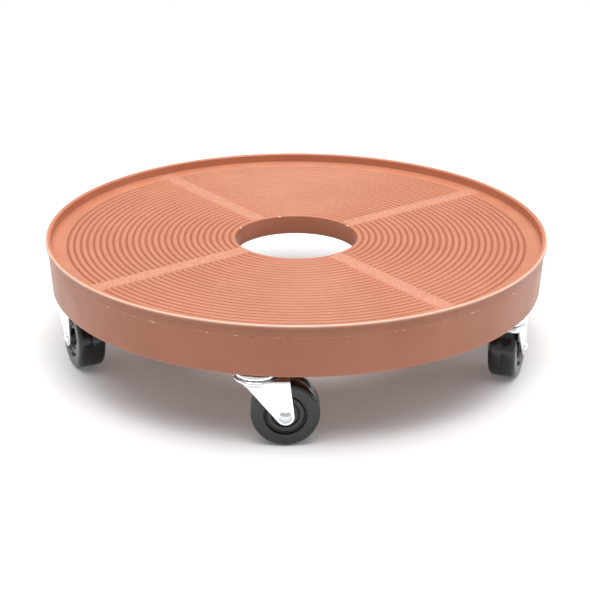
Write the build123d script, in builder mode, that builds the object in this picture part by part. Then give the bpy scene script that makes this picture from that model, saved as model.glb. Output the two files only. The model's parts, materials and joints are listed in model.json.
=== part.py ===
import os
from math import acos, asin, atan2, cos, degrees, hypot, pi, radians, sin, sqrt

from build123d import *

os.makedirs("parts", exist_ok=True)

# Deck: one moulding, with its origin on the floor under the centre
rim_radius = 203.2
rim_wall = 4.2
lip_height = 2.6
lip_proud = 1.5
tray_depth = 7.9
floor_wall = 4.2
skirt_height = 41.9
skirt_taper = 2.4
skirt_wall = 2.6
hole_radius = 50.0
hole_wall = 3.0
hole_depth = 16.4
corner_radius = 1.2

# Pattern of the tray floor
groove_start_margin = 4.7
groove_end_margin = 11.0
groove_pitch = 5.24
groove_width = 2.0
groove_depth = 1.2
spoke_width = 12.2
spoke_count = 4
spoke_angle = 36.8

# Stiffening under the floor
rib_count = 10
rib_wall = 2.4
ring_rib_radius = 118.0
gusset_span = 22.0
gusset_reach = 38.0
gusset_lift = 3.0
boss_radius = 10.5
rib_cover = 0.05

# Casters: how far in from the skirt, and the heading each wheel trails to at rest
caster_inset = 14.7
caster_start = -99.0
caster_headings = {"front": 1, "right": 71, "rear_right": 140, "rear_left": 205, "left": -66}

# Wheel
wheel_radius = 25.4
wheel_width = 22.0
shoulder = 2.4
face_inner_radius = 15.9
ring_outer_radius = 13.9
ring_inner_radius = 10.2
hub_radius = 6.8
dish_depth = 2.8
ring_drop = 1.4
hub_proud = 0.6

# Fork, stem and races
sheet = 2.0
race_sheet = 1.8
fork_proud = 0.5
fork_back = 3.4
fork_edge = 0.8
fork_rim = 4.4
fork_rim_taper = 2.4
fork_end_radius = 6.6
fork_fillet = 1.2
knee_ahead = 7.1
knee_drop = 4.9
shoulder_ahead = 9.2
cup_radius = 16.5
cup_rim = 4.3
kingpin_radius = 4.4
kingpin_end_radius = 3.6
kingpin_head_radius = 5.5
kingpin_head = 1.2
washer_radius = 8.6
washer_wall = 1.6
stem_radius = 5.55
stem_length = 22.2
grip_groove = 0.95
grip_length = 7.0
grip_slot = 1.2

# Balls and axle
track_margin = 0.5
track_depth = 0.3
lower_ball = 3.0
ball_spacing = 1.08
axle_radius = 3.2
axle_head_radius = 4.7
axle_head = 2.4
peened_head_radius = 4.3
peened_head = 1.7

# Clearances
running_fit = 0.06
ball_play = 0.08
socket_fit = 0.2
grip_fit = 0.02
wheel_side_gap = 1.2
wheel_top_gap = 1.4
washer_gap = 0.5
race_gap = 3.7
socket_spare = 1.8

# Levels, upwards from the floor
fork_under = 2 * wheel_radius + wheel_top_gap
fork_top = fork_under + sheet
cup_under = fork_top + race_gap
skirt_bottom = cup_under + race_sheet
overall_height = skirt_bottom + skirt_height
land_level = overall_height - tray_depth
floor_under = land_level - floor_wall
hole_bottom = land_level - hole_depth

# Radii of the deck
rim_inner = rim_radius - rim_wall
skirt_top_radius = rim_radius - lip_proud
skirt_low_radius = skirt_top_radius - skirt_taper
caster_circle = skirt_low_radius - skirt_wall - caster_inset
groove_first = hole_radius + groove_start_margin
groove_count = 1 + int((rim_inner - groove_end_margin - groove_first) / groove_pitch)

# Swivel bearing
upper_ball = race_gap + 2 * track_depth
upper_ball_level = fork_top + race_gap / 2
upper_track = cup_radius - race_sheet - upper_ball / 2 - track_margin
upper_ball_count = int(2 * pi * upper_track / (upper_ball * ball_spacing))
lower_ball_level = fork_under + track_depth - lower_ball / 2
lower_track = (kingpin_radius + washer_radius) / 2
lower_ball_count = int(2 * pi * lower_track / (lower_ball * ball_spacing))
washer_top = fork_under - lower_ball + 2 * track_depth
washer_bottom = washer_top - washer_wall
socket_radius = stem_radius + socket_fit

# Fork: the trail keeps the tread clear of the lower race
tread_rise = washer_bottom - washer_gap - wheel_radius
trail = washer_radius + sqrt(wheel_radius**2 - tread_rise**2)
fork_radius = cup_radius + fork_proud
half_gap = wheel_width / 2 + wheel_side_gap
half_fork = half_gap + sheet


def caster_place(index, heading):
    # x along the trail, z up, origin on the floor under the swivel axis
    angle = radians(caster_start + index * 360 / len(caster_headings))
    spot = (caster_circle * cos(angle), caster_circle * sin(angle), 0)
    ahead = (cos(radians(heading)), sin(radians(heading)), 0)
    return Plane(origin=spot, x_dir=ahead, z_dir=(0, 0, 1))


def upright(place):
    # section through the swivel axis: x along the trail, y up
    return Plane(origin=place.origin, x_dir=place.x_dir, z_dir=-place.y_dir)


def swivel_axis(place):
    return Axis(place.origin, place.z_dir)


def axle_section(place):
    # section through the wheel: x along the axle, y up
    centre = place.from_local_coords((trail, 0, wheel_radius))
    return Plane(origin=centre, x_dir=place.y_dir, z_dir=place.x_dir)


def axle_axis(place):
    section = axle_section(place)
    return Axis(section.origin, section.x_dir)


def tangent_point(point, centre, radius, side):
    # where a line from the point touches the circle
    dx = point[0] - centre[0]
    dy = point[1] - centre[1]
    turn = atan2(dy, dx) + side * acos(radius / hypot(dx, dy))
    return (centre[0] + radius * cos(turn), centre[1] + radius * sin(turn))


def make_deck():
    with BuildPart() as deck:
        with BuildSketch(Plane.XZ):
            with BuildLine():
                rim_mid = rim_radius - rim_wall / 2
                rim_level = overall_height - rim_wall / 2
                lip_level = overall_height - lip_height
                neck_level = lip_level - lip_proud / 2
                foot_mid = skirt_low_radius - skirt_wall / 2
                foot_level = skirt_bottom + skirt_wall / 2
                Polyline((hole_radius, land_level), (rim_inner, land_level), (rim_inner, rim_level))
                ThreePointArc((rim_inner, rim_level), (rim_mid, overall_height), (rim_radius, rim_level))
                Polyline(
                    (rim_radius, rim_level),
                    (rim_radius, lip_level),
                    (skirt_top_radius, neck_level),
                    (skirt_low_radius, foot_level),
                )
                ThreePointArc(
                    (skirt_low_radius, foot_level),
                    (foot_mid, skirt_bottom),
                    (skirt_low_radius - skirt_wall, foot_level),
                )
                Polyline(
                    (skirt_low_radius - skirt_wall, foot_level),
                    (skirt_top_radius - skirt_wall, floor_under),
                    (hole_radius + hole_wall, floor_under),
                    (hole_radius + hole_wall, hole_bottom),
                    (hole_radius, hole_bottom),
                    (hole_radius, land_level),
                )
            make_face()
        revolve(axis=Axis.Z)
        top_edges = deck.edges().filter_by(GeomType.CIRCLE).filter_by_position(
            Axis.Z, land_level - 0.01, land_level + 0.01
        )
        fillet(top_edges, corner_radius)
        # ribs run from the hole's wall into the skirt
        rib_start = hole_radius + hole_wall / 2
        rib_end = skirt_low_radius - rib_cover
        rib_height = floor_under - hole_bottom + floor_wall / 2
        with BuildSketch(Plane.XY.offset(hole_bottom)):
            with PolarLocations((rib_start + rib_end) / 2, rib_count, start_angle=caster_start):
                Rectangle(rib_end - rib_start, rib_wall)
            with BuildSketch(mode=Mode.ADD):
                Circle(ring_rib_radius + rib_wall / 2)
                Circle(ring_rib_radius - rib_wall / 2, mode=Mode.SUBTRACT)
        extrude(amount=rib_height)
        # a boss and its gussets over each caster
        casters = PolarLocations(caster_circle, len(caster_headings), start_angle=caster_start)
        gusset_level = skirt_bottom + gusset_lift
        inward = rib_end - caster_circle
        with BuildSketch(Plane.XY.offset(gusset_level)):
            with casters:
                with Locations(((inward - gusset_reach) / 2, 0)):
                    Rectangle(gusset_reach + inward, rib_wall)
                Rectangle(rib_wall, 2 * gusset_span)
        extrude(amount=floor_under + floor_wall / 2 - gusset_level)
        with BuildSketch(Plane.XY.offset(skirt_bottom)):
            with casters:
                Circle(boss_radius)
        extrude(amount=floor_under + floor_wall / 2 - skirt_bottom)
        with BuildSketch(Plane.XY.offset(skirt_bottom)):
            with casters:
                Circle(socket_radius)
        extrude(amount=stem_length + socket_spare, mode=Mode.SUBTRACT)
        # ring grooves, stopped short of the flat spokes
        with BuildSketch(Plane.XY.offset(land_level)):
            for ring in range(groove_count):
                radius = groove_first + ring * groove_pitch
                stop = degrees(asin((spoke_width + groove_width) / 2 / radius))
                start = spoke_angle + stop
                finish = spoke_angle + 360 / spoke_count - stop
                centre_line = Edge.make_circle(radius, start_angle=start, end_angle=finish)
                with PolarLocations(0, spoke_count):
                    SlotArc(centre_line, groove_width)
        extrude(amount=-groove_depth, mode=Mode.SUBTRACT)
    return deck


def make_stem(place):
    with BuildPart() as stem:
        top = skirt_bottom + stem_length
        grip_top = top - stem_radius
        tip = stem_radius - grip_groove
        with BuildSketch(upright(place)):
            with BuildLine():
                Polyline(
                    (0, washer_bottom - kingpin_head),
                    (0, top),
                    (tip, top),
                    (stem_radius, top - grip_groove),
                    (stem_radius, grip_top),
                    (tip, grip_top),
                    (tip, grip_top - grip_length),
                    (stem_radius, grip_top - grip_length),
                    (stem_radius, skirt_bottom),
                    (kingpin_radius, skirt_bottom),
                    (kingpin_radius, washer_top),
                    (kingpin_end_radius, washer_top),
                    (kingpin_end_radius, washer_bottom),
                    (kingpin_head_radius, washer_bottom),
                )
                TangentArc(
                    (0, washer_bottom - kingpin_head),
                    (kingpin_head_radius, washer_bottom),
                    tangent=(1, 0),
                )
            make_face()
        revolve(axis=swivel_axis(place))
    return stem


def make_grip_ring(place):
    with BuildPart() as grip_ring:
        grip_top = skirt_bottom + stem_length - stem_radius
        with BuildSketch(place.offset(grip_top - grip_length)):
            Circle(socket_radius - grip_fit)
            Circle(stem_radius - grip_groove, mode=Mode.SUBTRACT)
            with Locations((socket_radius, 0)):
                Rectangle(socket_radius, grip_slot, mode=Mode.SUBTRACT)
        extrude(amount=grip_length)
    return grip_ring


def make_cup(place):
    with BuildPart() as cup:
        with BuildSketch(upright(place)):
            with BuildLine():
                bend = race_sheet * 0.75
                Polyline(
                    (kingpin_radius, cup_under),
                    (kingpin_radius, skirt_bottom),
                    (cup_radius - bend, skirt_bottom),
                )
                ThreePointArc(
                    (cup_radius - bend, skirt_bottom),
                    (cup_radius - bend * 0.3, skirt_bottom - bend * 0.3),
                    (cup_radius, skirt_bottom - bend),
                )
                Polyline(
                    (cup_radius, skirt_bottom - bend),
                    (cup_radius, skirt_bottom - cup_rim),
                    (cup_radius - race_sheet, skirt_bottom - cup_rim),
                    (cup_radius - race_sheet, cup_under),
                    (kingpin_radius, cup_under),
                )
            make_face()
        revolve(axis=swivel_axis(place))
        with Locations(place.offset(upper_ball_level)):
            Torus(upper_track, upper_ball / 2 + ball_play, mode=Mode.SUBTRACT)
    return cup


def make_washer(place):
    with BuildPart() as washer:
        with BuildSketch(place.offset(washer_bottom)):
            Circle(washer_radius)
            Circle(kingpin_end_radius, mode=Mode.SUBTRACT)
        extrude(amount=washer_wall)
        with Locations(place.offset(lower_ball_level)):
            Torus(lower_track, lower_ball / 2 + ball_play, mode=Mode.SUBTRACT)
    return washer


def make_upper_balls(place):
    with BuildPart(place.offset(upper_ball_level)) as upper_balls:
        with PolarLocations(upper_track, upper_ball_count):
            Sphere(upper_ball / 2)
    return upper_balls


def make_lower_balls(place):
    with BuildPart(place.offset(lower_ball_level)) as lower_balls:
        with PolarLocations(lower_track, lower_ball_count):
            Sphere(lower_ball / 2)
    return lower_balls


def make_fork(place):
    with BuildPart() as fork:
        back = trail + fork_back
        # round top with straight sides over the wheel
        with BuildSketch(place.offset(fork_under)):
            Circle(fork_radius)
            with Locations((back / 2, 0)):
                Rectangle(back, 2 * half_fork)
        extrude(amount=sheet)
        fillet(fork.faces().sort_by(Axis.Z)[-1].outer_wire().edges(), fork_fillet)
        # a tapered rim under the round end, open over the wheel
        low_rim = fork_radius - fork_rim_taper
        with BuildSketch(upright(place)):
            with BuildLine():
                Polyline(
                    (fork_radius - sheet, fork_under),
                    (fork_radius, fork_under),
                    (low_rim, fork_top - fork_rim),
                    (low_rim - sheet, fork_top - fork_rim),
                    close=True,
                )
            make_face()
        revolve(axis=swivel_axis(place))
        with BuildSketch(place.offset(fork_under)):
            with Locations((fork_radius, 0)):
                Rectangle(2 * fork_radius, 2 * half_gap)
        extrude(amount=-fork_rim, mode=Mode.SUBTRACT)
        # legs: a slanted front edge, an almost upright back and a round end
        end = (trail, wheel_radius)
        heel = (back, fork_under + fork_edge)
        knee = (-knee_ahead, fork_top - knee_drop)
        low_front = tangent_point(knee, end, fork_end_radius, 1)
        low_back = tangent_point(heel, end, fork_end_radius, -1)
        for side in (1, -1):
            with BuildSketch(upright(place).offset(side * half_gap)):
                with BuildLine():
                    Polyline(low_back, heel, (-shoulder_ahead, heel[1]), (-shoulder_ahead, fork_under))
                    Polyline((-shoulder_ahead, fork_under), knee, low_front)
                    ThreePointArc(low_front, (end[0], end[1] - fork_end_radius), low_back)
                make_face()
            extrude(amount=side * sheet)
        # kingpin hole, ball tracks and axle holes
        with BuildSketch(place.offset(fork_under)):
            Circle(kingpin_radius + running_fit)
        extrude(amount=sheet, mode=Mode.SUBTRACT)
        with Locations(place.offset(upper_ball_level)):
            Torus(upper_track, upper_ball / 2, mode=Mode.SUBTRACT)
        with Locations(place.offset(lower_ball_level)):
            Torus(lower_track, lower_ball / 2, mode=Mode.SUBTRACT)
        with BuildSketch(upright(place)):
            with Locations(end):
                Circle(axle_radius)
        extrude(amount=half_fork, both=True, mode=Mode.SUBTRACT)
    return fork


def make_axle(place):
    with BuildPart() as axle:
        with BuildSketch(axle_section(place)):
            with BuildLine():
                near = -half_fork
                far = half_fork
                TangentArc((near - axle_head, 0), (near, axle_head_radius), tangent=(0, 1))
                Polyline(
                    (near, axle_head_radius),
                    (near, axle_radius),
                    (far, axle_radius),
                    (far, peened_head_radius),
                )
                TangentArc((far + peened_head, 0), (far, peened_head_radius), tangent=(0, 1))
                Line((far + peened_head, 0), (near - axle_head, 0))
            make_face()
        revolve(axis=axle_axis(place))
    return axle


def make_wheel(place):
    with BuildPart() as wheel:
        face = wheel_width / 2
        hub_face = face + hub_proud
        floor_face = face - dish_depth
        ring_face = face - ring_drop
        bore = axle_radius + running_fit
        draft = dish_depth / 5
        with BuildSketch(axle_section(place)):
            with BuildLine():
                Polyline(
                    (0, bore),
                    (hub_face, bore),
                    (hub_face, hub_radius - draft),
                    (floor_face, hub_radius),
                    (floor_face, ring_inner_radius - draft),
                    (ring_face, ring_inner_radius),
                    (ring_face, ring_outer_radius),
                    (floor_face, ring_outer_radius + draft),
                    (floor_face, face_inner_radius - draft),
                    (face, face_inner_radius),
                    (face, wheel_radius - shoulder),
                )
                ThreePointArc(
                    (face, wheel_radius - shoulder),
                    (face - shoulder * 0.3, wheel_radius - shoulder * 0.3),
                    (face - shoulder, wheel_radius),
                )
                Polyline((face - shoulder, wheel_radius), (0, wheel_radius), (0, bore))
            make_face()
            mirror(about=Plane.YZ)
        revolve(axis=axle_axis(place))
    return wheel


def save(label, built):
    built.part.label = label
    export_step(built.part, f"parts/{label}.step")


save("deck", make_deck())
for index, (where, heading) in enumerate(caster_headings.items()):
    place = caster_place(index, heading)
    save(f"stem_{where}", make_stem(place))
    save(f"grip_ring_{where}", make_grip_ring(place))
    save(f"upper_race_{where}", make_cup(place))
    save(f"lower_race_{where}", make_washer(place))
    save(f"upper_balls_{where}", make_upper_balls(place))
    save(f"lower_balls_{where}", make_lower_balls(place))
    save(f"fork_{where}", make_fork(place))
    save(f"axle_{where}", make_axle(place))
    save(f"wheel_{where}", make_wheel(place))
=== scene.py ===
import bpy, bmesh, json, math
from mathutils import Matrix, Vector


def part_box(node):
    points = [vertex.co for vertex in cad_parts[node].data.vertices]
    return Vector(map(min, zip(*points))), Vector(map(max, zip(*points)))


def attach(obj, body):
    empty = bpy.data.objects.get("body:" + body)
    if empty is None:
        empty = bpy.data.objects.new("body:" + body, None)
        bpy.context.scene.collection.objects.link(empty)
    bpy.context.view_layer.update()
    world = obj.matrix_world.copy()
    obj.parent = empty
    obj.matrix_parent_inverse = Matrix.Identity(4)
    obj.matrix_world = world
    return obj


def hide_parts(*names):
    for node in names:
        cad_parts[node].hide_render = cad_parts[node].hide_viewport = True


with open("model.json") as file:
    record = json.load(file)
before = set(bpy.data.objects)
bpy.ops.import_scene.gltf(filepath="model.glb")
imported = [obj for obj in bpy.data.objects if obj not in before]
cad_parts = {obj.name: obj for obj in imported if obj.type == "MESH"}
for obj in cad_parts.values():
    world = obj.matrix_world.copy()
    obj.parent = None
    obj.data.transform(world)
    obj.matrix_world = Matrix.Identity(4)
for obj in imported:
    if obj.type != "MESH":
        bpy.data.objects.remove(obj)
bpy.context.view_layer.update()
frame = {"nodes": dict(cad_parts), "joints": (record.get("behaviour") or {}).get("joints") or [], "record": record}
nodes = frame["nodes"]
joints = {joint["name"]: joint for joint in frame["joints"]}
places = ("front", "right", "rear_right", "rear_left", "left")
print("frame loaded:", len(nodes), "nodes")

# ---------- node helpers ----------


def newGroup(name, inputs, outputs):
    group = bpy.data.node_groups.new(name, "ShaderNodeTree")
    for label, kind, value in inputs:
        socket = group.interface.new_socket(name=label, in_out="INPUT", socket_type=kind)
        if value is not None:
            socket.default_value = value
    for label, kind in outputs:
        group.interface.new_socket(name=label, in_out="OUTPUT", socket_type=kind)
    return group, group.nodes.new("NodeGroupInput"), group.nodes.new("NodeGroupOutput")


def addNode(tree, kind, inputs=None, **settings):
    # inputs maps a socket to a value, or to another node's output that feeds it
    node = tree.nodes.new("ShaderNode" + kind)
    for key, value in settings.items():
        setattr(node, key, value)
    for key, value in (inputs or {}).items():
        if isinstance(value, bpy.types.NodeSocket):
            tree.links.new(value, node.inputs[key])
        else:
            node.inputs[key].default_value = value
    return node


def addMath(tree, kind, first, second=0.5, third=0.5, clamp=False):
    node = addNode(tree, "Math", {0: first, 1: second, 2: third}, operation=kind)
    node.use_clamp = clamp
    return node.outputs[0]


def spread(tree, value, fromLow, fromHigh, toLow, toHigh):
    sockets = {"Value": value, "From Min": fromLow, "From Max": fromHigh, "To Min": toLow, "To Max": toHigh}
    return addNode(tree, "MapRange", sockets).outputs["Result"]


def mixColours(tree, share, first, second, kind="MIX"):
    node = addNode(tree, "Mix", data_type="RGBA", blend_type=kind)
    for index, value in ((0, share), (6, first), (7, second)):
        if isinstance(value, bpy.types.NodeSocket):
            tree.links.new(value, node.inputs[index])
        elif index == 0:
            node.inputs[0].default_value = value
        else:
            node.inputs[index].default_value = (*value, 1)
    return node.outputs[2]


def fadeIn(tree, value, start, width):
    # 0 up to the start, then rising to 1 over the width
    return spread(tree, value, start, start + width, 0.0, 1.0)


def fadeOut(tree, value, start, width):
    return spread(tree, value, start, start + width, 1.0, 0.0)


def tint(tree, colour, mask, share, target):
    return mixColours(tree, addMath(tree, "MULTIPLY", mask, share), colour, target)


# ---------- camera and studio ----------
cameraSet = {"lens": 97.05, "sensor": 36.0, "place": (-0.0009, -1.2234, 0.5454), "down": 22.39, "roll": 0.2}

lightSet = {
    "overhead": {"place": (0.0, -0.05, 2.2), "aim": (0, 0, 0), "size": 2.8, "power": 104.0},
    "keyBox": {"place": (0.15, -0.6, 1.9), "aim": (0, 0, 0.08), "size": 0.6, "power": 5.0},
    "sideLeft": {"place": (-1.9, 0.2, 0.8), "aim": (0, 0, 0.1), "size": 1.3, "power": 4.6},
    "sideRight": {"place": (1.9, 0.2, 0.8), "aim": (0, 0, 0.1), "size": 1.3, "power": 7.2},
}

studioSet = {
    "floorSize": 2.6, "paper": 0.76, "bounce": 0.48, "glow": 0.11, "paperRough": 0.7,
    "sky": 0.2, "shine": 0.6,
}


def makeCamera(s):
    data = bpy.data.cameras.new("camera")
    data.lens = s["lens"]
    data.sensor_width = s["sensor"]
    data.clip_end = 20
    cam = bpy.data.objects.new("camera", data)
    tip = Matrix.Rotation(math.radians(90 - s["down"]), 4, "X")
    roll = Matrix.Rotation(math.radians(s["roll"]), 4, "Z")
    cam.matrix_world = Matrix.Translation(s["place"]) @ tip @ roll
    bpy.context.scene.collection.objects.link(cam)
    bpy.context.scene.camera = cam


def makeLight(name, s):
    data = bpy.data.lights.new(name, "AREA")
    data.shape = "SQUARE"
    data.size = s["size"]
    data.energy = s["power"]
    lamp = bpy.data.objects.new(name, data)
    lamp.location = s["place"]
    aim = Vector(s["aim"]) - Vector(s["place"])
    lamp.rotation_euler = aim.to_track_quat("-Z", "Y").to_euler()
    bpy.context.scene.collection.objects.link(lamp)


def makeBackdrop(s):
    world = bpy.data.worlds.new("studio")
    bpy.context.scene.world = world
    world.use_nodes = True
    tree = world.node_tree
    backdrop = tree.nodes["Background"]
    backdrop.inputs["Color"].default_value = (1, 1, 1, 1)
    # plain white to the camera, a little less in reflections, and dimmer as a light
    ray = addNode(tree, "LightPath")
    mirrored = addMath(tree, "MULTIPLY", ray.outputs["Is Glossy Ray"], s["shine"])
    whiter = addMath(tree, "MAXIMUM", ray.outputs["Is Camera Ray"], mirrored)
    tree.links.new(spread(tree, whiter, 0.0, 1.0, s["sky"], 1.0), backdrop.inputs["Strength"])


def makeFloor(s):
    bpy.ops.mesh.primitive_plane_add(size=s["floorSize"], location=(0, 0, 0))
    floor = bpy.context.object
    floor.name = "studioFloor"
    paper = bpy.data.materials.new("floorPaper")
    paper.use_nodes = True
    tree = paper.node_tree
    shader = tree.nodes["Principled BSDF"]
    shader.inputs["Roughness"].default_value = s["paperRough"]
    shader.inputs["Emission Color"].default_value = (1, 1, 1, 1)
    shader.inputs["Emission Strength"].default_value = s["glow"]
    # white paper that throws a little less light back up at the deck
    ray = addNode(tree, "LightPath")
    white = spread(tree, ray.outputs["Is Diffuse Ray"], 0.0, 1.0, s["paper"], s["bounce"])
    tree.links.new(white, shader.inputs["Base Color"])
    floor.data.materials.append(paper)


makeCamera(cameraSet)
for name, s in lightSet.items():
    makeLight(name, s)
bpy.context.scene.view_settings.view_transform = "Standard"
makeBackdrop(studioSet)
makeFloor(studioSet)
print("camera and studio ready")

# ---------- shaping helpers ----------


def deselectAll():
    for obj in bpy.context.selected_objects:
        obj.select_set(False)


def makeActive(obj):
    deselectAll()
    obj.select_set(True)
    bpy.context.view_layer.objects.active = obj


def arc(centre, radius, start, finish, count):
    # points of an arc in the (radius, height) plane, in degrees
    points = []
    for i in range(count):
        angle = math.radians(start + (finish - start) * i / (count - 1))
        points.append((centre[0] + radius * math.cos(angle), centre[1] + radius * math.sin(angle)))
    return points


def tidyMesh(obj, angle):
    makeActive(obj)
    bpy.ops.object.mode_set(mode="EDIT")
    bpy.ops.mesh.select_all(action="SELECT")
    bpy.ops.mesh.remove_doubles(threshold=0.000004)
    bpy.ops.mesh.normals_make_consistent(inside=False)
    bpy.ops.object.mode_set(mode="OBJECT")
    bpy.ops.object.shade_smooth_by_angle(angle=math.radians(angle))


def turned(name, outline, steps, angle=30):
    # a closed ring of points, or an open one that ends on the axis, spun about Z
    deselectAll()
    bpy.ops.mesh.primitive_circle_add(vertices=len(outline), radius=0.01, location=(0, 0, 0))
    obj = bpy.context.object
    obj.name = name
    for vert, (r, z) in zip(obj.data.vertices, outline):
        vert.co = (r, 0, z)
    bpy.ops.object.mode_set(mode="EDIT")
    bpy.ops.mesh.select_all(action="SELECT")
    bpy.ops.mesh.spin(steps=steps, angle=2 * math.pi, center=(0, 0, 0), axis=(0, 0, 1))
    bpy.ops.object.mode_set(mode="OBJECT")
    cleanAxis(obj)
    tidyMesh(obj, angle)
    return obj


def cleanAxis(obj):
    # the ring's closing edge lies on the axis when the outline is open, so its flat faces go
    mesh = bmesh.new()
    mesh.from_mesh(obj.data)
    bmesh.ops.remove_doubles(mesh, verts=mesh.verts, dist=0.000004)
    flat = [f for f in mesh.faces if f.calc_area() < 1e-12]
    bmesh.ops.delete(mesh, geom=flat, context="FACES")
    loose = [e for e in mesh.edges if not e.link_faces]
    bmesh.ops.delete(mesh, geom=loose, context="EDGES")
    mesh.to_mesh(obj.data)
    mesh.free()


def placed(obj, matrix):
    # the place goes into the mesh, and the object stays at the origin
    obj.data.transform(matrix)
    obj.data.update()
    return obj


def copyPiece(obj, name):
    twin = obj.copy()
    twin.data = obj.data.copy()
    twin.name = name
    bpy.context.scene.collection.objects.link(twin)
    return twin


def joinPieces(pieces, name):
    deselectAll()
    for obj in pieces:
        obj.select_set(True)
    bpy.context.view_layer.objects.active = pieces[0]
    bpy.ops.object.join()
    pieces[0].name = name
    return pieces[0]


def applyAll(obj):
    makeActive(obj)
    for modifier in list(obj.modifiers):
        bpy.ops.object.modifier_apply(modifier=modifier.name)


def pivotOf(place):
    return Vector(joints["swivel_" + place]["pos_m"])


def trailOf(place):
    return (Vector(joints["roll_" + place]["pos_m"]) - pivotOf(place)).xy.length


def swivelFrame(place):
    pivot = pivotOf(place)
    return Matrix.Translation((pivot.x, pivot.y, 0))


def casterFrame(place):
    # x along the trail, y along the axle, origin on the floor under the swivel
    ahead = Vector(joints["roll_" + place]["pos_m"]) - pivotOf(place)
    ahead.z = 0
    ahead.normalize()
    side = Vector((-ahead.y, ahead.x, 0))
    turn = Matrix((ahead, side, Vector((0, 0, 1)))).transposed().to_4x4()
    return swivelFrame(place) @ turn


def axleFrame(place):
    # the caster's axle is Z of the turned piece, and its middle the joint's place
    roll = joints["roll_" + place]
    turn = Vector(roll["axis"]).normalized().to_track_quat("Z", "Y").to_matrix().to_4x4()
    return Matrix.Translation(roll["pos_m"]) @ turn


def onEachCaster(master, name, frameOf):
    pieces = {place: placed(copyPiece(master, name + place), frameOf(place)) for place in places}
    bpy.data.objects.remove(master)
    return pieces


# ---------- deck ----------
deckSet = {
    "rimWall": 0.0042, "lipHeight": 0.0026, "lipProud": 0.0015, "lipRound": 0.0005, "rimRound": 0.0013,
    "taper": 0.0024,
    "skirtWall": 0.0026, "floorWall": 0.0042, "holeWall": 0.003, "holeDepth": 0.0164, "corner": 0.0012,
    "inside": 0.001, "partingDrop": 0.0103, "partingHalf": 0.0004, "partingDepth": 0.00018,
    "grooveMargin": 0.0047, "groovePitch": 0.00524, "grooveCount": 26, "grooveWidth": 0.002,
    "grooveDepth": 0.0012, "spokeWidth": 0.0122, "spokeCount": 4, "spokeAngle": 36.8, "columns": 288,
}

# half widths and depths across a groove, as shares of its own, from one land to the next
grooveSection = ((-1.3, 0), (-1, 0.16), (-0.78, 0.72), (-0.4, 1), (0.4, 1), (0.78, 0.72), (1, 0.16), (1.3, 0))

# how far each of the first columns stands from a spoke's middle, and how deep a groove is there
spokeColumns = ((0, 0), (0.0034, 0), (0.0061, 0), (0.0066, 0.62), (0.0072, 1))

mounts = {mount["name"]: mount for mount in frame["record"]["mounts"]}
deckLow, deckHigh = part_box("deck")
deckTop = deckHigh[2]
deckFoot = deckLow[2]
deckRadius = (deckHigh[0] - deckLow[0]) / 2
landLevel = mounts["pot_seat"]["pos_m"][2]
holeRadius = 0.05


def deckOutline(s):
    under = landLevel - s["floorWall"]
    rimInner = deckRadius - s["rimWall"]
    skirtTop = deckRadius - s["lipProud"]
    skirtLow = skirtTop - s["taper"]
    lipLevel = deckTop - s["lipHeight"]
    neckLevel = lipLevel - s["lipProud"] / 2
    footLevel = deckFoot + s["skirtWall"] / 2
    c, e, f = s["corner"], s["lipRound"], s["inside"]

    def skirtAt(level):
        return skirtLow + s["taper"] * (level - footLevel) / (neckLevel - e - footLevel)

    points = arc((holeRadius + c, landLevel - c), c, 180, 90, 5)
    for ring in range(s["grooveCount"]):
        middle = holeRadius + s["grooveMargin"] + ring * s["groovePitch"]
        for across, deep in grooveSection:
            points.append((middle + across * s["grooveWidth"] / 2, landLevel - deep * s["grooveDepth"]))
    points += arc((rimInner - c, landLevel + c), c, 270, 360, 5)
    points += arc((rimInner + s["rimRound"], deckTop - s["rimRound"]), s["rimRound"], 180, 90, 6)
    points += arc((deckRadius - s["rimRound"], deckTop - s["rimRound"]), s["rimRound"], 90, 0, 6)
    points += arc((deckRadius - e, lipLevel), e, 0, -70, 4)
    points += arc((skirtTop + e, neckLevel - e), e, 110, 180, 4)
    parting = deckTop - s["partingDrop"]
    half = s["partingHalf"]
    for rise in (3 * half, 2 * half, half, 0, -half, -2 * half, -3 * half):
        sunk = s["partingDepth"] if rise == 0 else 0
        points.append((skirtAt(parting + rise) - sunk, parting + rise))
    points.append((skirtAt(footLevel + 2 * e), footLevel + 2 * e))
    points += arc((skirtLow - s["skirtWall"] / 2, footLevel), s["skirtWall"] / 2, 0, -180, 9)
    points += arc((skirtTop - s["skirtWall"] - f, under - f), f, 0, 90, 4)
    points += arc((holeRadius + s["holeWall"] + f, under - f), f, 90, 180, 4)
    bottom = landLevel - s["holeDepth"] + s["holeWall"] / 2
    points += arc((holeRadius + s["holeWall"] / 2, bottom), s["holeWall"] / 2, 0, -180, 7)
    return points


def stopGrooves(obj, s):
    # columns near a spoke run along its edges, and the grooves rise to the land there
    quadrant = 2 * math.pi / s["spokeCount"]
    step = 2 * math.pi / s["columns"]
    perQuadrant = s["columns"] // s["spokeCount"]
    last = len(spokeColumns) - 1
    for vert in obj.data.vertices:
        radius = math.hypot(vert.co.x, vert.co.y)
        column = round(math.atan2(vert.co.y, vert.co.x) / step) % s["columns"]
        turns, place = divmod(column, perQuadrant)
        mirrored = place > perQuadrant // 2
        near = perQuadrant - place if mirrored else place
        offset, depth = spokeColumns[min(near, last)]
        bend = math.asin(offset / radius)
        if near > last:
            bend += (quadrant / 2 - bend) * (near - last) / (perQuadrant / 2 - last)
        angle = math.radians(s["spokeAngle"]) + turns * quadrant + (quadrant - bend if mirrored else bend)
        low = landLevel - vert.co.z
        inTray = holeRadius + s["corner"] < radius < deckRadius - s["rimWall"] - s["corner"] / 2
        if inTray and 0 < low < s["grooveDepth"] * 1.1:
            vert.co.z = landLevel - low * depth
        vert.co.x = radius * math.cos(angle)
        vert.co.y = radius * math.sin(angle)
    obj.data.update()


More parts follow.
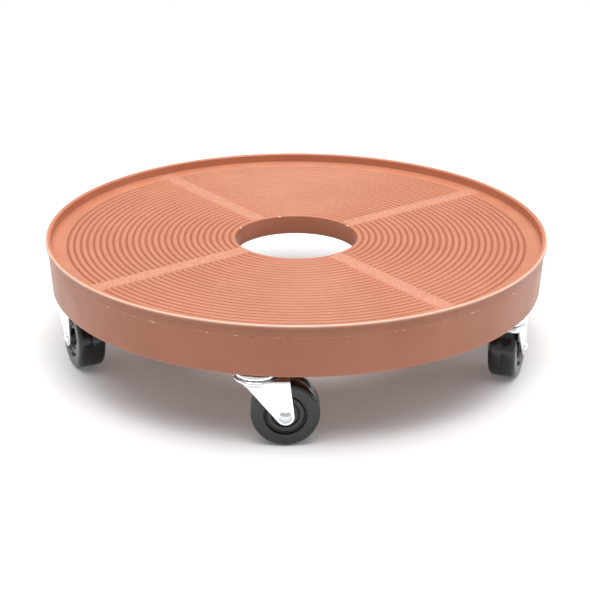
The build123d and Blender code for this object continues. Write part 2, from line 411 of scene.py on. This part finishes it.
deckShell = turned("deckShell", deckOutline(deckSet), deckSet["columns"], angle=50)
stopGrooves(deckShell, deckSet)
print("deck shell:", len(deckShell.data.polygons), "faces")

# ---------- ribs and bosses under the deck ----------
ribSet = {
    "count": 10, "wall": 0.0024, "ringRadius": 0.118, "gussetSpan": 0.022, "gussetReach": 0.038,
    "gussetLift": 0.003, "bossRadius": 0.0105, "socketRadius": 0.00575, "socketDepth": 0.024,
    "draft": 0.0003, "edge": 0.0005, "sunk": 0.0012, "cover": 0.00005,
}


def wallBlock(name, start, finish, low, high, wall, s):
    # a moulded wall along X, thinner at its lower edge, with that edge rounded
    deselectAll()
    size = (finish - start, wall, high - low)
    middle = ((start + finish) / 2, 0, (low + high) / 2)
    bpy.ops.mesh.primitive_cube_add(size=1, scale=size, location=middle)
    obj = bpy.context.object
    obj.name = name
    bpy.ops.object.transform_apply(location=True, rotation=True, scale=True)
    bpy.ops.object.mode_set(mode="EDIT")
    bpy.ops.mesh.select_mode(type="EDGE")
    bpy.ops.mesh.select_all(action="DESELECT")
    bpy.ops.object.mode_set(mode="OBJECT")
    for vert in obj.data.vertices:
        if vert.co.z < (low + high) / 2:
            vert.co.y -= math.copysign(s["draft"], vert.co.y)
    for edge in obj.data.edges:
        edge.select = all(obj.data.vertices[i].co.z < (low + high) / 2 for i in edge.vertices)
    bpy.ops.object.mode_set(mode="EDIT")
    bpy.ops.mesh.bevel(offset=s["edge"], segments=3, affect="EDGES")
    bpy.ops.object.mode_set(mode="OBJECT")
    return obj


def makeRibs(s, d):
    under = landLevel - d["floorWall"]
    top = under + s["sunk"]
    ribLow = landLevel - d["holeDepth"]
    skirtEnd = deckRadius - d["lipProud"] - d["taper"] - s["cover"]
    start = holeRadius + d["holeWall"] / 2
    pieces = []
    rib = wallBlock("rib", start, skirtEnd, ribLow, top, s["wall"], s)
    pivots = [pivotOf(place) for place in places]
    first = math.atan2(pivots[0].y, pivots[0].x)
    for i in range(s["count"]):
        turn = Matrix.Rotation(first + i * 2 * math.pi / s["count"], 4, "Z")
        pieces.append(placed(copyPiece(rib, "ribCopy"), turn))
    half = s["wall"] / 2
    e = s["edge"]
    ring = arc((s["ringRadius"] + half - e, ribLow + e), e, 0, -90, 4)
    ring += arc((s["ringRadius"] - half + e, ribLow + e), e, -90, -180, 4)
    ring += [(s["ringRadius"] - half, top), (s["ringRadius"] + half, top)]
    pieces.append(turned("ringRib", ring, 144, angle=40))
    foot = deckFoot + s["gussetLift"]
    reach = wallBlock("reach", -s["gussetReach"], 0, foot, top, s["wall"], s)
    across = wallBlock("across", -s["gussetSpan"], s["gussetSpan"], foot, top, s["wall"], s)
    placed(across, Matrix.Rotation(math.pi / 2, 4, "Z"))
    r, q = s["bossRadius"], s["socketRadius"]
    boss = arc((r - e, deckFoot + e), e, 0, -90, 4) + arc((q + e, deckFoot + e), e, -90, -180, 4)
    boss += [(q, deckFoot + s["socketDepth"]), (0, deckFoot + s["socketDepth"])]
    boss += [(0, top), (r + s["draft"], top)]
    boss = turned("boss", boss, 48, angle=40)
    for pivot in pivots:
        out = math.atan2(pivot.y, pivot.x)
        seat = Matrix.Translation((pivot.x, pivot.y, 0)) @ Matrix.Rotation(out, 4, "Z")
        outer = wallBlock("outer", 0, skirtEnd - pivot.xy.length, foot, top, s["wall"], s)
        pieces.append(placed(outer, seat))
        for part in (reach, across, boss):
            pieces.append(placed(copyPiece(part, "gussetCopy"), seat))
    for spare in (rib, reach, across, boss):
        bpy.data.objects.remove(spare)
    ribs = joinPieces(pieces, "deckRibs")
    makeActive(ribs)
    bpy.ops.object.shade_smooth_by_angle(angle=math.radians(35))
    return ribs


deckRibs = makeRibs(ribSet, deckSet)
print("ribs and bosses:", len(deckRibs.data.polygons), "faces")

# ---------- wheels ----------
wheelSet = {
    "radius": 0.0254, "width": 0.022, "shoulder": 0.0036, "faceInner": 0.0159, "ringOuter": 0.0139,
    "ringInner": 0.0102, "hub": 0.0068, "dish": 0.0028, "ringDrop": 0.0014, "hubProud": 0.0006,
    "bore": 0.00326, "edge": 0.0004, "partingHalf": 0.0003, "partingSunk": 0.00008, "steps": 96,
}


def wheelSide(s, side):
    # one side, from the bore out to the tread, with every moulded corner rounded
    face = s["width"] / 2
    floor = face - s["dish"]
    ring = face - s["ringDrop"]
    hub = face + s["hubProud"]
    e = s["edge"]
    points = arc((s["bore"] + e, hub - e), e, 180, 90, 3)
    points += arc((s["hub"] - 2 * e, hub - e), e, 90, 10, 4)
    points += arc((s["hub"] + e, floor + e), e, 190, 270, 4)
    points += arc((s["ringInner"] - 2 * e, floor + e), e, 270, 350, 4)
    points += arc((s["ringInner"] + e, ring - e), e, 170, 90, 4)
    points += arc((s["ringOuter"] - e, ring - e), e, 90, 10, 4)
    points += arc((s["ringOuter"] + 2 * e, floor + e), e, 190, 270, 4)
    points += arc((s["faceInner"] - 2 * e, floor + e), e, 270, 350, 4)
    points += arc((s["faceInner"] + e, face - e), e, 170, 90, 4)
    points += arc((s["radius"] - s["shoulder"], face - s["shoulder"]), s["shoulder"], 90, 0, 9)
    return [(r, side * z) for r, z in (points if side > 0 else reversed(points))]


def makeWheel(s):
    r, half = s["radius"], s["partingHalf"]
    tread = [(r, half), (r - s["partingSunk"], 0), (r, -half)]
    return turned("wheel", wheelSide(s, 1) + tread + wheelSide(s, -1), s["steps"], angle=40)


wheels = onEachCaster(makeWheel(wheelSet), "wheelTurned_", axleFrame)
print("wheels:", len(wheels))

# ---------- axle rivets ----------
rivetSet = {
    "halfFork": 0.0142, "shank": 0.0032, "headRadius": 0.0047, "head": 0.0024, "rim": 0.0004,
    "peenRadius": 0.0043, "peen": 0.0017, "steps": 40,
}


def domePoints(radius, height, base, side, rim, count=9):
    # a round cap that stands on base, from its middle out to a short upright rim
    rise = height - rim
    bow = (radius * radius + rise * rise) / (2 * rise)
    sweep = math.degrees(math.asin(radius / bow))
    cap = arc((0, rim + rise - bow), bow, 90, 90 - sweep, count)
    return [(max(r, 0), side * (base + z)) for r, z in cap] + [(radius, side * base)]


def makeRivet(s):
    low = domePoints(s["headRadius"], s["head"], s["halfFork"], -1, s["rim"])
    high = domePoints(s["peenRadius"], s["peen"], s["halfFork"], 1, s["rim"])
    shank = [(s["shank"], -s["halfFork"]), (s["shank"], s["halfFork"])]
    return turned("rivet", low + shank + high[::-1], s["steps"], angle=45)


rivets = onEachCaster(makeRivet(rivetSet), "axleRivet_", axleFrame)
print("rivets:", len(rivets))

# ---------- bearing cups ----------
cupSet = {
    "radius": 0.0165, "sheet": 0.0018, "rim": 0.0043, "bend": 0.0029, "kingpin": 0.0044,
    "lip": 0.0004, "step": 0.0118, "stepDrop": 0.0005, "steps": 72,
}


def makeCup(s):
    # pressed cup: a flat seat under the boss, a stepped shoulder, and a turned-down rim
    top = deckFoot
    inner = s["radius"] - s["sheet"]
    foot = top - s["rim"]
    points = [(s["kingpin"], top - s["sheet"]), (s["kingpin"], top)]
    points += arc((s["step"] - s["stepDrop"], top - s["stepDrop"]), s["stepDrop"], 90, 20, 4)
    points += arc((s["radius"] - s["bend"], top - s["stepDrop"] - s["bend"]), s["bend"], 80, 0, 7)
    points += arc((s["radius"] - s["lip"], foot + s["lip"]), s["lip"], 0, -90, 4)
    points += arc((inner + s["lip"], foot + s["lip"]), s["lip"], -90, -180, 4)
    points += arc((inner - s["lip"], top - s["sheet"] - s["stepDrop"] - s["lip"]), s["lip"], 0, 90, 4)
    return turned("cup", points, s["steps"], angle=40)


cups = onEachCaster(makeCup(cupSet), "bearingCup_", swivelFrame)
print("bearing cups:", len(cups))

# ---------- pressed forks ----------
forkSet = {
    "top": 0.0542, "sheet": 0.002, "radius": 0.017, "rim": 0.0044, "rimTaper": 0.0024, "bend": 0.0021,
    "halfWidth": 0.0142, "back": 0.0034, "heelDrop": 0.0012,
    "kneeAhead": 0.0071, "kneeDrop": 0.0049, "endRadius": 0.0066, "kingpin": 0.00446,
    "roundEnd": 120.0, "blendFrom": 150.0, "blendTo": 117.0, "blendOut": 0.0013,
    "bulgeStart": 0.002, "bulgeEnd": 0.0115, "hem": 0.0012, "shortHem": 0.001, "edge": 0.0003,
    "wallCrowding": 1.6,
    "roundSteps": 14, "slantSteps": 14, "endSteps": 16, "backSteps": 9,
    "topSteps": 4, "bendSteps": 5, "wallSteps": 9,
}


def smooth(start, finish, value):
    share = min(max((value - start) / (finish - start), 0), 1)
    return share * share * (3 - 2 * share)


def tangentFrom(point, centre, radius, side):
    offset = Vector(point) - Vector(centre)
    turn = math.atan2(offset.y, offset.x) + side * math.acos(radius / offset.length)
    return Vector(centre) + radius * Vector((math.cos(turn), math.sin(turn)))


def legOutline(s, trail, axleLevel):
    # from the knee down the slanted edge, round the axle and up the back, as (x, z)
    end = Vector((trail, axleLevel))
    knee = Vector((-s["kneeAhead"], s["top"] - s["kneeDrop"]))
    heel = Vector((trail + s["back"], s["top"] - s["heelDrop"] - s["bend"] / 2))
    lowFront = tangentFrom(knee, end, s["endRadius"], 1)
    lowBack = tangentFrom(heel, end, s["endRadius"], -1)
    points = [knee.lerp(lowFront, i / s["slantSteps"]) for i in range(s["slantSteps"])]
    first = math.atan2(lowFront.y - end.y, lowFront.x - end.x)
    last = math.atan2(lowBack.y - end.y, lowBack.x - end.x)
    if first > last:
        first -= 2 * math.pi
    for i in range(s["endSteps"]):
        angle = first + (last - first) * i / s["endSteps"]
        points.append(end + s["endRadius"] * Vector((math.cos(angle), math.sin(angle))))
    points += [lowBack.lerp(heel, i / s["backSteps"]) for i in range(s["backSteps"] + 1)]
    return points


def forkRows(s, trail, axleLevel):
    # one list of points for each station, from the middle of the top to the lower edge of the wall
    rows = []
    for i in range(s["roundSteps"]):
        angle = math.radians(180 - (180 - s["roundEnd"]) * i / s["roundSteps"])
        out = Vector((math.cos(angle), math.sin(angle)))
        blend = smooth(s["blendFrom"], s["blendTo"], math.degrees(angle))
        lowRadius = s["radius"] - s["rimTaper"] + blend * s["blendOut"]
        low = s["top"] - s["rim"] - blend * (s["kneeDrop"] - s["rim"])
        start = out * s["kingpin"]
        edge = out * s["radius"]
        rows.append((start, edge, out, out * lowRadius, low))
    outline = legOutline(s, trail, axleLevel)
    firstX = s["radius"] * math.cos(math.radians(s["roundEnd"]))
    lastX = trail + s["back"]
    for i, low in enumerate(outline):
        share = i / (len(outline) - 1)
        x = firstX + (lastX - firstX) * share
        circle = math.sqrt(max(s["radius"] ** 2 - x * x, 0))
        bulge = max(circle - s["halfWidth"], 0) * (1 - smooth(s["bulgeStart"], s["bulgeEnd"], x))
        y = s["halfWidth"] + bulge
        out = Vector((0, 1))
        if x < 0:
            out = Vector((x, y)).normalized()
        hole = math.sqrt(max(s["kingpin"] ** 2 - max(x, 0) ** 2, 0))
        start = out * s["kingpin"] if x < 0 else Vector((x, hole))
        rows.append((start, Vector((x, y)), out, Vector((low.x, s["halfWidth"])), low.y))
    return rows


def stationPoints(s, row):
    start, edge, out, low, lowLevel = row
    bend = s["bend"]
    shelf = edge - out * bend
    points = []
    for i in range(s["topSteps"]):
        spot = start.lerp(shelf, i / s["topSteps"])
        points.append((spot.x, spot.y, s["top"]))
    for i in range(s["bendSteps"]):
        turn = math.pi / 2 * i / (s["bendSteps"] - 1)
        spot = shelf + out * bend * math.sin(turn)
        points.append((spot.x, spot.y, s["top"] - bend * (1 - math.cos(turn))))
    wallTop = s["top"] - bend
    for i in range(1, s["wallSteps"] + 1):
        share = (i / s["wallSteps"]) ** s["wallCrowding"]
        level = wallTop + (lowLevel - wallTop) * share
        inward = smooth(wallTop, s["top"] - s["rim"] - s["hem"], level)
        if lowLevel > s["top"] - s["rim"] - s["shortHem"]:
            inward = share
        along = edge.lerp(low, share)
        across = edge.y + (low.y - edge.y) * inward
        points.append((along.x, across, level))
    return points


def makeFork(s, trail, axleLevel):
    rows = [stationPoints(s, row) for row in forkRows(s, trail, axleLevel)]
    deselectAll()
    across = len(rows[0])
    bpy.ops.mesh.primitive_grid_add(x_subdivisions=across - 1, y_subdivisions=len(rows) - 1, size=0.02)
    half = bpy.context.object
    half.name = "fork"
    for vert in half.data.vertices:
        station, place = divmod(vert.index, across)
        vert.co = rows[station][place]
    half.data.update()
    mirror = half.modifiers.new("otherSide", "MIRROR")
    mirror.use_axis = (False, True, False)
    mirror.use_clip = True
    mirror.merge_threshold = 0.00002
    applyAll(half)
    tidyMesh(half, 40)
    wall = half.modifiers.new("sheet", "SOLIDIFY")
    wall.thickness = s["sheet"]
    wall.offset = -1
    wall.use_even_offset = True
    edge = half.modifiers.new("sheared", "BEVEL")
    edge.width = s["edge"]
    edge.segments = 2
    edge.limit_method = "ANGLE"
    edge.angle_limit = math.radians(50)
    applyAll(half)
    makeActive(half)
    bpy.ops.object.shade_smooth_by_angle(angle=math.radians(40))
    return half


axleLevel = joints["roll_front"]["pos_m"][2]
forks = onEachCaster(makeFork(forkSet, trailOf("front"), axleLevel), "pressedFork_", casterFrame)
print("forks:", len(forks))

# ---------- shared node groups ----------


def makeGrainGroup():
    inputs = (("Vector", "NodeSocketVector", None), ("Scale", "NodeSocketFloat", 600.0))
    outputs = (("Height", "NodeSocketFloat"), ("Cloud", "NodeSocketFloat"), ("Speck", "NodeSocketFloat"))
    group, start, end = newGroup("mouldGrain", inputs, outputs)
    fine = addNode(group, "TexNoise", {"Vector": start.outputs[0], "Scale": start.outputs[1], "Detail": 3.0})
    broad = addMath(group, "MULTIPLY", start.outputs[1], 0.03)
    cloud = addNode(group, "TexNoise", {"Vector": start.outputs[0], "Scale": broad, "Detail": 4.0})
    dots = addMath(group, "MULTIPLY", start.outputs[1], 0.6)
    speck = addNode(group, "TexVoronoi", {"Vector": start.outputs[0], "Scale": dots})
    dot = spread(group, speck.outputs["Distance"], 0.06, 0.16, 1.0, 0.0)
    group.links.new(fine.outputs[0], end.inputs[0])
    group.links.new(spread(group, cloud.outputs[0], 0.35, 0.65, 0.0, 1.0), end.inputs[1])
    group.links.new(dot, end.inputs[2])
    return group


def makeEdgeGroup():
    inputs = (("Vector", "NodeSocketVector", None), ("Width", "NodeSocketFloat", 0.0005),
              ("Breakup", "NodeSocketFloat", 300.0))
    outputs = (("Normal", "NodeSocketVector"), ("Wear", "NodeSocketFloat"))
    group, start, end = newGroup("edgeWear", inputs, outputs)
    soft = addNode(group, "Bevel", {"Radius": start.outputs[1]}, samples=6)
    surface = addNode(group, "NewGeometry")
    sides = {0: soft.outputs[0], 1: surface.outputs["Normal"]}
    turn = addNode(group, "VectorMath", sides, operation="DOT_PRODUCT")
    noise = addNode(group, "TexNoise", {"Vector": start.outputs[0], "Scale": start.outputs[2], "Detail": 3.0})
    bare = spread(group, turn.outputs["Value"], 0.99, 0.8, 0.0, 1.0)
    wear = addMath(group, "MULTIPLY", bare, spread(group, noise.outputs[0], 0.4, 0.6, 0.3, 1.0), clamp=True)
    group.links.new(soft.outputs[0], end.inputs[0])
    group.links.new(wear, end.inputs[1])
    return group


def makeDustGroup():
    inputs = (("Vector", "NodeSocketVector", None), ("Scale", "NodeSocketFloat", 60.0))
    outputs = (("Mask", "NodeSocketFloat"),)
    group, start, end = newGroup("lightDust", inputs, outputs)
    surface = addNode(group, "NewGeometry")
    facing = addNode(group, "SeparateXYZ", {0: surface.outputs["Normal"]})
    up = spread(group, facing.outputs[2], 0.2, 1.0, 0.0, 1.0)
    noise = addNode(group, "TexNoise", {"Vector": start.outputs[0], "Scale": start.outputs[1], "Detail": 6.0})
    mask = addMath(group, "MULTIPLY", up, spread(group, noise.outputs[0], 0.45, 0.75, 0.0, 1.0), clamp=True)
    group.links.new(mask, end.inputs[0])
    return group


grainGroup = makeGrainGroup()
edgeGroup = makeEdgeGroup()
dustGroup = makeDustGroup()


def placeGroup(tree, group, inputs):
    node = tree.nodes.new("ShaderNodeGroup")
    node.node_tree = group
    for key, value in inputs.items():
        if isinstance(value, bpy.types.NodeSocket):
            tree.links.new(value, node.inputs[key])
        else:
            node.inputs[key].default_value = value
    return node


def startMaterial(name, values):
    material = bpy.data.materials.new(name)
    material.use_nodes = True
    tree = material.node_tree
    shader = tree.nodes["Principled BSDF"]
    for key, value in values.items():
        shader.inputs[key].default_value = value
    place = addNode(tree, "TexCoord").outputs["Object"]
    return material, tree, shader, place


def addBump(tree, shader, height, distance, strength, normal=None):
    bump = addNode(tree, "Bump", {"Height": height, "Distance": distance, "Strength": strength})
    if normal is not None:
        tree.links.new(normal, bump.inputs["Normal"])
    tree.links.new(bump.outputs[0], shader.inputs["Normal"])


# ---------- terracotta plastic ----------
plasticSet = {
    "dark": (0.408, 0.135, 0.066), "light": (0.446, 0.150, 0.074), "pale": (0.70, 0.37, 0.25),
    "speck": (0.34, 0.105, 0.05), "speckShare": 0.35, "dust": (0.56, 0.33, 0.24), "dustScale": 45.0,
    "film": 0.07, "filmRough": 0.12, "grain": 900.0, "rough": (0.37, 0.46), "specular": 0.62,
    "bump": 0.00003, "bumpStrength": 0.35, "edge": 0.0006, "breakup": 260.0, "wear": 0.35,
}

# painted shade down in the grooves, measured from the land, and the ring of the tray that holds them
grooveShadeSet = {
    "colour": (0.25, 0.066, 0.028), "share": 0.85, "low": 0.0011, "lowFade": 0.0006,
    "floor": 0.0016, "floorFade": 0.0003, "fromHole": 0.002, "fromRim": 0.0015, "fade": 0.0005,
}

# sandier finish on the flat spokes
sandSet = {
    "dark": (0.36, 0.13, 0.075), "pale": (0.60, 0.29, 0.20), "scale": 900.0, "share": 0.6,
    "halfWidth": 0.0056, "fade": 0.0008,
}

# moulding flash and dark nicks, with painted highlights along the parting line, the rim's crest and the skirt's
# lower edge
mouldingAndHighlightSet = {
    "flash": (0.86, 0.62, 0.50), "nick": (0.10, 0.045, 0.03), "nickScale": 170.0,
    "lineHalf": 0.0001, "lineFade": 0.0005, "lineShare": 0.22, "lineFrom": 0.0037,
    "crestWidth": 0.0018, "crestShare": 0.55, "footFrom": 0.0047, "footHeight": 0.0006, "footFade": 0.001,
    "footShare": 0.35, "holeBand": 0.0004, "holeDrop": 0.0012, "fade": 0.0005,
}


def trayMask(tree, radius, s):
    inner = fadeIn(tree, radius, holeRadius + s["fromHole"], s["fade"])
    outer = fadeOut(tree, radius, deckRadius - deckSet["rimWall"] - s["fromRim"], s["fade"])
    return addMath(tree, "MULTIPLY", inner, outer)


def paintGrooveShade(tree, colour, height, inTray, s):
    # painted shade: the lower part of each groove in the tray is coloured darker
    low = fadeOut(tree, height, landLevel - s["low"], s["lowFade"])
    aboveFloor = fadeIn(tree, height, landLevel - s["floor"], s["floorFade"])
    grooveShade = addMath(tree, "MULTIPLY", addMath(tree, "MULTIPLY", low, aboveFloor), inTray)
    return tint(tree, colour, grooveShade, s["share"], s["colour"])


def sandSpokes(tree, colour, place, inTray, s):
    turn = (0, 0, -math.radians(deckSet["spokeAngle"]))
    sides = addNode(tree, "Mapping", {"Vector": place, "Rotation": turn}).outputs[0]
    sides = addNode(tree, "SeparateXYZ", {0: sides})
    across = addMath(tree, "ABSOLUTE", sides.outputs[0])
    along = addMath(tree, "ABSOLUTE", sides.outputs[1])
    onSpoke = fadeOut(tree, addMath(tree, "MINIMUM", across, along), s["halfWidth"], s["fade"])
    grit = addNode(tree, "TexNoise", {"Vector": place, "Scale": s["scale"], "Detail": 2.0}).outputs[0]
    sandy = mixColours(tree, spread(tree, grit, 0.38, 0.62, 0.0, 1.0), s["dark"], s["pale"])
    return tint(tree, colour, addMath(tree, "MULTIPLY", onSpoke, inTray), s["share"], sandy)


def paintMouldingAndHighlights(tree, colour, place, height, radius, pale, s):
    parting = addMath(tree, "SUBTRACT", height, deckTop - deckSet["partingDrop"])
    line = fadeOut(tree, addMath(tree, "ABSOLUTE", parting), s["lineHalf"], s["lineFade"])
    line = addMath(tree, "MULTIPLY", line, fadeIn(tree, radius, deckRadius - s["lineFrom"], s["fade"]))
    # painted highlight: a pale line along the parting line
    colour = tint(tree, colour, line, s["lineShare"], pale)
    nick = addNode(tree, "TexNoise", {"Vector": place, "Scale": s["nickScale"], "Detail": 2.0}).outputs[0]
    colour = tint(tree, colour, line, spread(tree, nick, 0.62, 0.70, 0.0, 1.0), s["flash"])
    colour = tint(tree, colour, line, spread(tree, nick, 0.36, 0.30, 0.0, 0.8), s["nick"])
    # painted highlights along the rim's outer corner, and along the skirt's lower edge
    width = s["crestWidth"]
    # painted highlight: a cream line on the rim's outer top corner
    crestHighlight = addMath(tree, "MULTIPLY", fadeIn(tree, radius, deckRadius - width, width / 2),
                    fadeIn(tree, height, deckTop - width, width / 2))
    colour = tint(tree, colour, crestHighlight, s["crestShare"], s["flash"])
    # painted highlight: a pale band along the skirt's lower edge
    foot = addMath(tree, "MULTIPLY", fadeIn(tree, radius, deckRadius - s["footFrom"], s["fade"]),
                   fadeOut(tree, height, deckFoot + s["footHeight"], s["footFade"]))
    colour = tint(tree, colour, foot, s["footShare"], pale)
    # flash on the hole's edge
    edge = addMath(tree, "MULTIPLY", fadeOut(tree, radius, holeRadius + s["holeBand"], s["fade"]),
                   fadeIn(tree, height, landLevel - s["holeDrop"], s["fade"]))
    return tint(tree, colour, edge, spread(tree, nick, 0.62, 0.68, 0.0, 1.0), s["flash"])


def makePlastic(s):
    material, tree, shader, place = startMaterial("terracottaPlastic", {"Specular IOR Level": s["specular"]})
    grain = placeGroup(tree, grainGroup, {"Vector": place, "Scale": s["grain"]})
    edge = placeGroup(tree, edgeGroup, {"Vector": place, "Width": s["edge"], "Breakup": s["breakup"]})
    dust = placeGroup(tree, dustGroup, {"Vector": place, "Scale": s["dustScale"]})
    colour = mixColours(tree, grain.outputs["Cloud"], s["dark"], s["light"])
    colour = tint(tree, colour, grain.outputs["Speck"], s["speckShare"], s["speck"])
    # pale edges: partly rubbed wear, partly a painted highlight along every edge
    colour = tint(tree, colour, edge.outputs["Wear"], s["wear"], s["pale"])
    colour = tint(tree, colour, dust.outputs["Mask"], s["film"], s["dust"])
    height = addNode(tree, "SeparateXYZ", {0: place}).outputs[2]
    level = addNode(tree, "VectorMath", {0: place, 1: (1, 1, 0)}, operation="MULTIPLY").outputs[0]
    radius = addNode(tree, "VectorMath", {0: level}, operation="LENGTH").outputs["Value"]
    inTray = trayMask(tree, radius, grooveShadeSet)
    colour = paintGrooveShade(tree, colour, height, inTray, grooveShadeSet)
    colour = sandSpokes(tree, colour, place, inTray, sandSet)
    colour = paintMouldingAndHighlights(tree, colour, place, height, radius, s["pale"], mouldingAndHighlightSet)
    tree.links.new(colour, shader.inputs["Base Color"])
    rough = spread(tree, grain.outputs["Cloud"], 0.0, 1.0, s["rough"][1], s["rough"][0])
    rough = addMath(tree, "MULTIPLY_ADD", dust.outputs["Mask"], s["filmRough"], rough)
    tree.links.new(rough, shader.inputs["Roughness"])
    addBump(tree, shader, grain.outputs["Height"], s["bump"], s["bumpStrength"], edge.outputs["Normal"])
    return material


# ---------- bright zinc ----------
zincSet = {
    "bright": (0.93, 0.94, 0.955), "dull": (0.80, 0.82, 0.85), "rough": (0.13, 0.26),
    "grain": 500.0, "bump": 0.00002, "bumpStrength": 0.22, "edge": 0.0004, "breakup": 900.0, "wear": 0.5,
}


def makeZinc(s):
    material, tree, shader, place = startMaterial("brightZinc", {"Metallic": 1.0})
    grain = placeGroup(tree, grainGroup, {"Vector": place, "Scale": s["grain"]})
    edge = placeGroup(tree, edgeGroup, {"Vector": place, "Width": s["edge"], "Breakup": s["breakup"]})
    colour = mixColours(tree, grain.outputs["Cloud"], s["dull"], s["bright"])
    colour = tint(tree, colour, edge.outputs["Wear"], s["wear"], (1, 1, 1))
    tree.links.new(colour, shader.inputs["Base Color"])
    rough = spread(tree, grain.outputs["Cloud"], 0.0, 1.0, s["rough"][1], s["rough"][0])
    tree.links.new(rough, shader.inputs["Roughness"])
    addBump(tree, shader, grain.outputs["Height"], s["bump"], s["bumpStrength"], edge.outputs["Normal"])
    return material


# ---------- plated, spring and ball steels ----------
steelSets = {
    "platedSteel": {"light": (0.84, 0.85, 0.87), "dark": (0.55, 0.56, 0.58),
                    "rough": (0.16, 0.30), "scale": 700.0},
    "springSteel": {"light": (0.36, 0.37, 0.42), "dark": (0.20, 0.21, 0.25),
                    "rough": (0.28, 0.42), "scale": 500.0},
    "ballSteel": {"light": (0.70, 0.70, 0.72), "dark": (0.38, 0.35, 0.30),
                  "rough": (0.10, 0.34), "scale": 900.0},
}


steelEdge = {
    "width": 0.0003, "breakup": 1200.0, "wear": 0.4, "bare": (0.95, 0.95, 0.95),
    "bump": 0.00001, "bumpStrength": 0.25,
}


def makeSteel(name, s, e):
    material, tree, shader, place = startMaterial(name, {"Metallic": 1.0})
    grain = placeGroup(tree, grainGroup, {"Vector": place, "Scale": s["scale"]})
    edge = placeGroup(tree, edgeGroup, {"Vector": place, "Width": e["width"], "Breakup": e["breakup"]})
    colour = mixColours(tree, grain.outputs["Cloud"], s["dark"], s["light"])
    colour = tint(tree, colour, edge.outputs["Wear"], e["wear"], e["bare"])
    tree.links.new(colour, shader.inputs["Base Color"])
    rough = spread(tree, grain.outputs["Cloud"], 0.0, 1.0, s["rough"][1], s["rough"][0])
    tree.links.new(rough, shader.inputs["Roughness"])
    addBump(tree, shader, grain.outputs["Height"], e["bump"], e["bumpStrength"], edge.outputs["Normal"])
    return material


# ---------- black wheel ----------
rubberSet = {
    "dark": (0.012, 0.012, 0.012), "light": (0.022, 0.022, 0.021), "scuff": (0.085, 0.083, 0.08),
    "grain": 1400.0, "rough": (0.13, 0.22), "bump": 0.00002, "bumpStrength": 0.3, "edge": 0.0005,
    "breakup": 800.0, "wear": 0.35, "dustScale": 220.0, "film": 0.12, "filmRough": 0.2,
}


def makeRubber(s):
    material, tree, shader, place = startMaterial("hardRubber", {"Specular IOR Level": 0.55})
    grain = placeGroup(tree, grainGroup, {"Vector": place, "Scale": s["grain"]})
    edge = placeGroup(tree, edgeGroup, {"Vector": place, "Width": s["edge"], "Breakup": s["breakup"]})
    dust = placeGroup(tree, dustGroup, {"Vector": place, "Scale": s["dustScale"]})
    colour = mixColours(tree, grain.outputs["Cloud"], s["dark"], s["light"])
    colour = tint(tree, colour, edge.outputs["Wear"], s["wear"], s["scuff"])
    colour = tint(tree, colour, dust.outputs["Mask"], s["film"], s["scuff"])
    tree.links.new(colour, shader.inputs["Base Color"])
    rough = spread(tree, grain.outputs["Cloud"], 0.0, 1.0, s["rough"][0], s["rough"][1])
    rough = addMath(tree, "MULTIPLY_ADD", dust.outputs["Mask"], s["filmRough"], rough)
    tree.links.new(rough, shader.inputs["Roughness"])
    addBump(tree, shader, grain.outputs["Height"], s["bump"], s["bumpStrength"], edge.outputs["Normal"])
    return material


plastic = makePlastic(plasticSet)
zinc = makeZinc(zincSet)
rubber = makeRubber(rubberSet)
steels = {name: makeSteel(name, s, steelEdge) for name, s in steelSets.items()}
print("materials ready")

# ---------- finish each piece ----------


def dressPiece(obj, material, slot, body, *replaced):
    obj.data.materials.clear()
    obj.data.materials.append(material)
    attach(obj, body)
    if replaced:
        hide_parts(*replaced)


def dressNode(name, material):
    # a CAD node keeps its mesh and takes the material on its own slots
    for slot in nodes[name].material_slots:
        slot.link = "OBJECT"
        slot.material = material


nodeFinishes = {
    "stem_": steels["platedSteel"], "lower_race_": zinc, "grip_ring_": steels["springSteel"],
    "upper_balls_": steels["ballSteel"], "lower_balls_": steels["ballSteel"],
}

dressPiece(deckShell, plastic, "terracotta_plastic", "deck", "deck")
dressPiece(deckRibs, plastic, "terracotta_plastic", "deck")
for place in places:
    dressPiece(wheels[place], rubber, "hard_rubber", "wheel_" + place, "wheel_" + place)
    dressPiece(rivets[place], steels["platedSteel"], "plated_steel", "fork_" + place, "axle_" + place)
    dressPiece(cups[place], zinc, "bright_zinc", "deck", "upper_race_" + place)
    dressPiece(forks[place], zinc, "bright_zinc", "fork_" + place, "fork_" + place)
    for node, finish in nodeFinishes.items():
        dressNode(node + place, finish)
print("pieces dressed")
